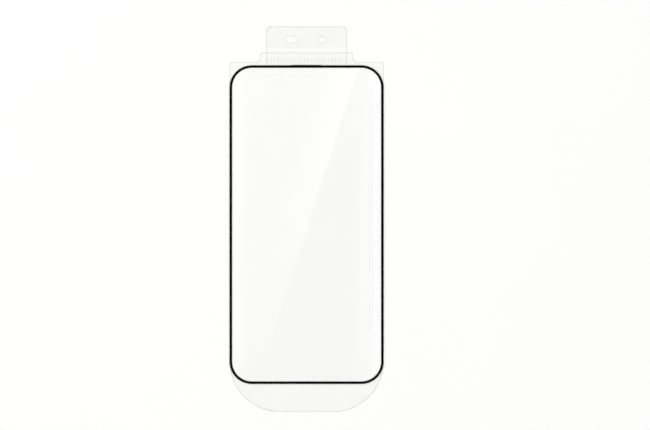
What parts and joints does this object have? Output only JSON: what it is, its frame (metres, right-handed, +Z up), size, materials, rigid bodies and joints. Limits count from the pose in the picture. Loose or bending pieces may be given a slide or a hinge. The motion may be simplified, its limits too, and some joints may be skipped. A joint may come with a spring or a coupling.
{
  "type": "phone screen protector",
  "caption": "Clear glass phone screen protector with a black border, on a film carrier with a pull tongue, a ribbed neck and a locating tab pierced by a pin hole and a slot.",
  "frame": {"origin": "middle of the whole outline, on the carrier sheet's underside, which lies on the table", "axes": "+Z up out of the pane's front face, +Y along the length towards the locating tab, +X to the right"},
  "size_m": [0.0696, 0.1736, 0.0007],
  "materials": {
    "clear_film": "clear polyester film, glossy, with plain cut edges",
    "clear_glass": "clear polished glass with a rounded front edge",
    "black_ink": "deep black printed ink"
  },
  "bodies": {
    "root": {"carrier_sheet": "clear_film", "protector_pane": "clear_glass", "black_border": "black_ink", "locating_tab": "clear_film"}
  },
  "joints": []
}
